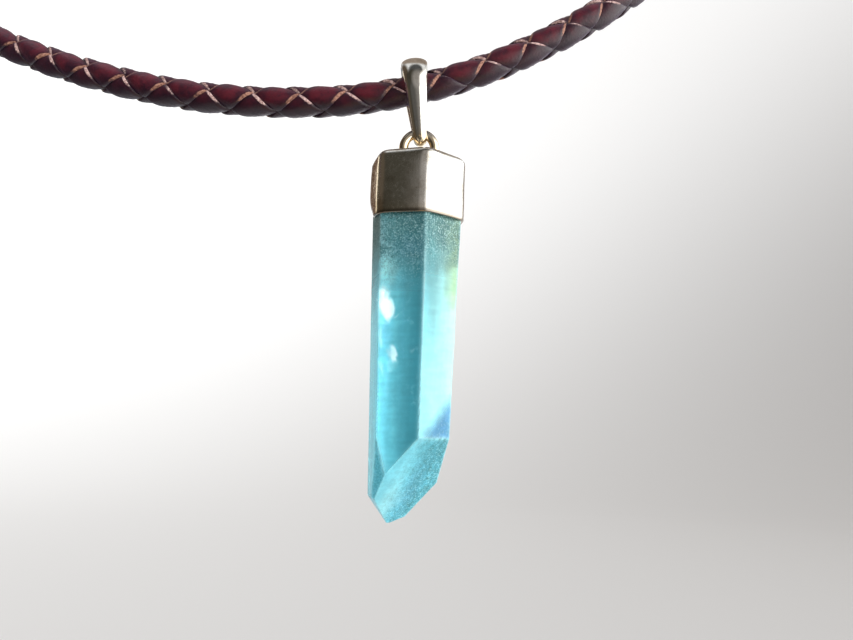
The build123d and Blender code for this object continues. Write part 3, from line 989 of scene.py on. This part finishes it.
def make_world():
    """Soft studio surroundings by direction, which the silver mirrors.

    They are pale all round, with a bright window to the right and a dark room in front on the left.
    """
    world = bpy.data.worlds.new("studio")
    bpy.context.scene.world = world
    world.use_nodes = True
    tree = world.node_tree
    ray = add_node(tree, "ShaderNodeTexCoord").outputs["Generated"]
    level = add_node(tree, "ShaderNodeSeparateXYZ", i0=ray).outputs[2]
    colour = mix_colour(tree, ease(tree, level, -0.5, 0.4), (0.62, 0.62, 0.60, 1), (0.92, 0.94, 0.95, 1))
    # Patches: (direction, cosine where it starts, cosine where it is full, colour)
    patches = [
        ((0.10, 0.95, 0.10), 0.70, 0.95, (1.25, 1.27, 1.28, 1)),
        ((0.0, 0.48, 0.88), 0.79, 0.90, (0.32, 0.26, 0.21, 1)),
        ((0.0, -0.68, 0.73), 0.76, 0.88, (0.085, 0.088, 0.09, 1)),
        ((-0.98, 0.05, 0.10), 0.50, 0.75, (0.10, 0.078, 0.055, 1)),
        ((-0.30, -0.95, -0.02), 0.45, 0.70, (0.055, 0.050, 0.038, 1)),
        ((-0.25, -0.84, -0.48), 0.78, 0.92, (0.095, 0.091, 0.084, 1)),
        ((0.25, -0.93, 0.25), 0.66, 0.95, (0.32, 0.30, 0.28, 1)),
        ((0.78, -0.60, -0.24), 0.87, 0.91, (2.0, 1.98, 1.92, 1)),
        ((0.79, -0.56, 0.26), 0.80, 0.92, (2.2, 2.18, 2.14, 1)),
        ((1.0, -0.06, 0.12), 0.70, 0.91, (3.0, 3.0, 2.9, 1)),
        ((-0.44, 0.85, 0.29), 0.955, 0.985, (0.13, 0.075, 0.05, 1)),
        ((-0.70, 0.66, 0.28), 0.985, 0.993, (1.5, 1.3, 1.0, 1)),
        ((0.42, 0.86, 0.30), 0.965, 0.985, (0.22, 0.15, 0.10, 1)),
        ((-0.42, 0.90, -0.08), 0.96, 0.985, (0.30, 0.36, 0.38, 1)),
        ((0.05, -0.60, -0.80), 0.90, 0.97, (0.75, 0.55, 0.30, 1)),
    ]
    for direction, start, full, tone in patches:
        unit = Vector(direction).normalized()
        near = add_node(tree, "ShaderNodeVectorMath", {"operation": "DOT_PRODUCT"}, i0=ray,
                        i1=tuple(unit)).outputs["Value"]
        colour = mix_colour(tree, ease(tree, near, start, full), colour, tone)
    fill(tree, tree.nodes["Background"], {"Color": colour, "Strength": 1.0})


def make_stage():
    """A wide pale bowl: flat under the pendant, curving up far behind it on every side."""
    floor_level = -235.0
    flat_radius, curve_radius, wall_height = 500.0, 700.0, 700.0
    bend = np.linspace(0, pi / 2, 24)
    reach = np.concatenate([[0.01, 100.0, 300.0], flat_radius + curve_radius * np.sin(bend),
                            [flat_radius + curve_radius]])
    level = np.concatenate([[0.0] * 3, curve_radius * (1 - np.cos(bend)), [curve_radius + wall_height]])
    columns = 96
    azimuth = np.linspace(0, 2 * pi, columns, endpoint=False)[None, :]
    points = np.stack([reach[:, None] * np.sin(azimuth), -reach[:, None] * np.cos(azimuth),
                       np.broadcast_to(floor_level + level[:, None], (len(reach), columns))], axis=-1)
    bowl = grid_mesh("pale_bowl", points)
    bowl.visible_glossy = False
    bowl.visible_diffuse = False
    bowl.visible_transmission = False
    bowl.visible_shadow = False
    bowl.data.materials.append(stage_material())


def sun_light(name, towards, power, spread, colour):
    """A broad even light from a direction. The silver doesn't mirror it: it mirrors the surroundings."""
    light = bpy.data.lights.new(name, "SUN")
    light.angle = radians(spread)
    light.energy = power
    light.color = colour
    lamp = bpy.data.objects.new(name, light)
    lamp.rotation_euler = Vector(towards).to_track_quat("Z", "Y").to_euler()
    lamp.visible_glossy = False
    bpy.context.scene.collection.objects.link(lamp)


def make_camera():
    """The camera that puts the saddle on its pixel from its distance, at the photograph's tilt and roll."""
    up, roll = radians(camera_up_tilt), radians(camera_roll)
    forward = np.array([0.0, cos(up), sin(up)])
    level_right = np.array([1.0, 0.0, 0.0])
    level_up = np.cross(level_right, forward)
    right = level_right * cos(roll) + level_up * sin(roll)
    above = level_up * cos(roll) - level_right * sin(roll)
    ray = (forward + right * (saddle_pixel[0] - photo_width / 2) / focal_pixels
           - above * (saddle_pixel[1] - photo_height / 2) / focal_pixels)
    place = saddle - ray * camera_distance
    data = bpy.data.cameras.new("photo_view")
    data.sensor_fit = "HORIZONTAL"
    data.sensor_width = sensor_width
    data.lens = focal_pixels * sensor_width / photo_width
    data.clip_start = 0.002
    data.clip_end = 20.0
    camera = bpy.data.objects.new("photo_view", data)
    axes = Matrix((right, above, -forward)).transposed().to_4x4()
    camera.matrix_world = Matrix.Translation(Vector(place * MM)) @ axes
    bpy.context.scene.collection.objects.link(camera)
    bpy.context.scene.camera = camera


def finish_piece(piece, material, body, slot, *nodes):
    """Gives a piece its material and its body, and hides the model's nodes that it stands for. Its slot is
    not used.
    """
    piece.data.materials.append(material)
    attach(piece, body)
    if nodes:
        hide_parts(*nodes)


# The same leather twice: the raw edges of the laces that wind one way are painted lighter and those that wind
# the other way darker, painted light and shade
lit_edged = leather_material("lit_edged_leather", (0.26, 0.13, 0.12, 1), (0.78, 0.56, 0.52, 1))
shaded_edged = leather_material("shaded_edged_leather", (0.13, 0.045, 0.03, 1), (0.46, 0.24, 0.17, 1))
silver = silver_material("worn_silver", 0.8, 1.0, 14.5, 11.0, mouth_drop)
bright_silver = silver_material("bright_silver", 0.6, 0.35, 5.2, 3.8, mouth_drop)
quartz = crystal_material()
fracture = flake_material()

laces = [(-1.0, 0.0, lit_edged), (-1.0, pi, lit_edged), (1.0, 0.0, shaded_edged), (1.0, pi, shaded_edged)]
for number, (sense, phase, leather) in enumerate(laces, start=1):
    finish_piece(braided_lace(f"braid_{number}", sense, phase), leather, "cord", "leather", f"lace_{number}")
finish_piece(bail_strap(), bright_silver, "bail", "silver", "bail")
finish_piece(cap_shell(), silver, "drop", "silver", "cap")
finish_piece(ring_wire(), bright_silver, "drop", "silver", "cap")
finish_piece(solder_seam(), bright_silver, "drop", "silver", "cap")
finish_piece(crystal_point(), quartz, "drop", "crystal", "crystal")
for row in flakes:
    finish_piece(flake(*row), fracture, "drop", "crystal")
clasp = frame["nodes"]["clasp"]
clasp.data.materials.clear()
clasp.data.materials.append(silver)

bpy.context.scene.view_settings.view_transform = "Standard"
make_world()
make_stage()
sun_light("window_glow", (0.85, -0.35, 0.40), 1.2, 30.0, (1.0, 0.99, 0.97))
sun_light("room_fill", (-0.6, -0.7, 0.35), 1.1, 60.0, (0.97, 0.98, 1.0))
make_camera()
